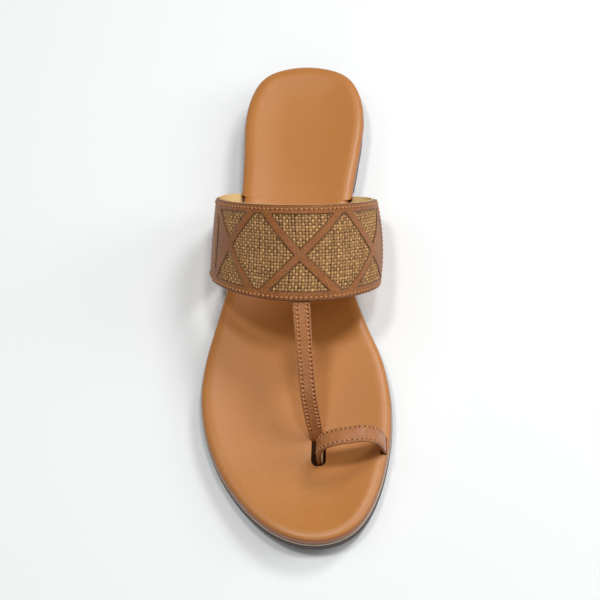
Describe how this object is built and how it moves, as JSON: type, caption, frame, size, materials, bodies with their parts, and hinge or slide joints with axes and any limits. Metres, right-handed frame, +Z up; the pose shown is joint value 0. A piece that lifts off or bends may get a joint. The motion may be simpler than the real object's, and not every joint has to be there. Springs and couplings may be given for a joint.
{
  "type": "t-strap toe-loop sandal",
  "caption": "Flat slip-on sandal with a wide instep band, a T-strap and a loop for the big toe, on a padded footbed and a low-heeled sole.",
  "frame": {"origin": "middle of the sole's length and width, on the ground", "axes": "+Y from toe to heel along the sole, +X to the inner side of the foot, +Z up"},
  "size_m": [0.087, 0.249, 0.0633],
  "materials": {
    "outsole": "matt dark brown moulded rubber",
    "midsole": "pale unfinished leather board",
    "footbed": "smooth tan leather, semi-matt",
    "upper": "brown leather with a woven inlay on the band"
  },
  "bodies": {
    "root": {"outsole": "outsole", "midsole": "midsole", "footbed": "footbed", "upper": "upper"}
  },
  "joints": []
}
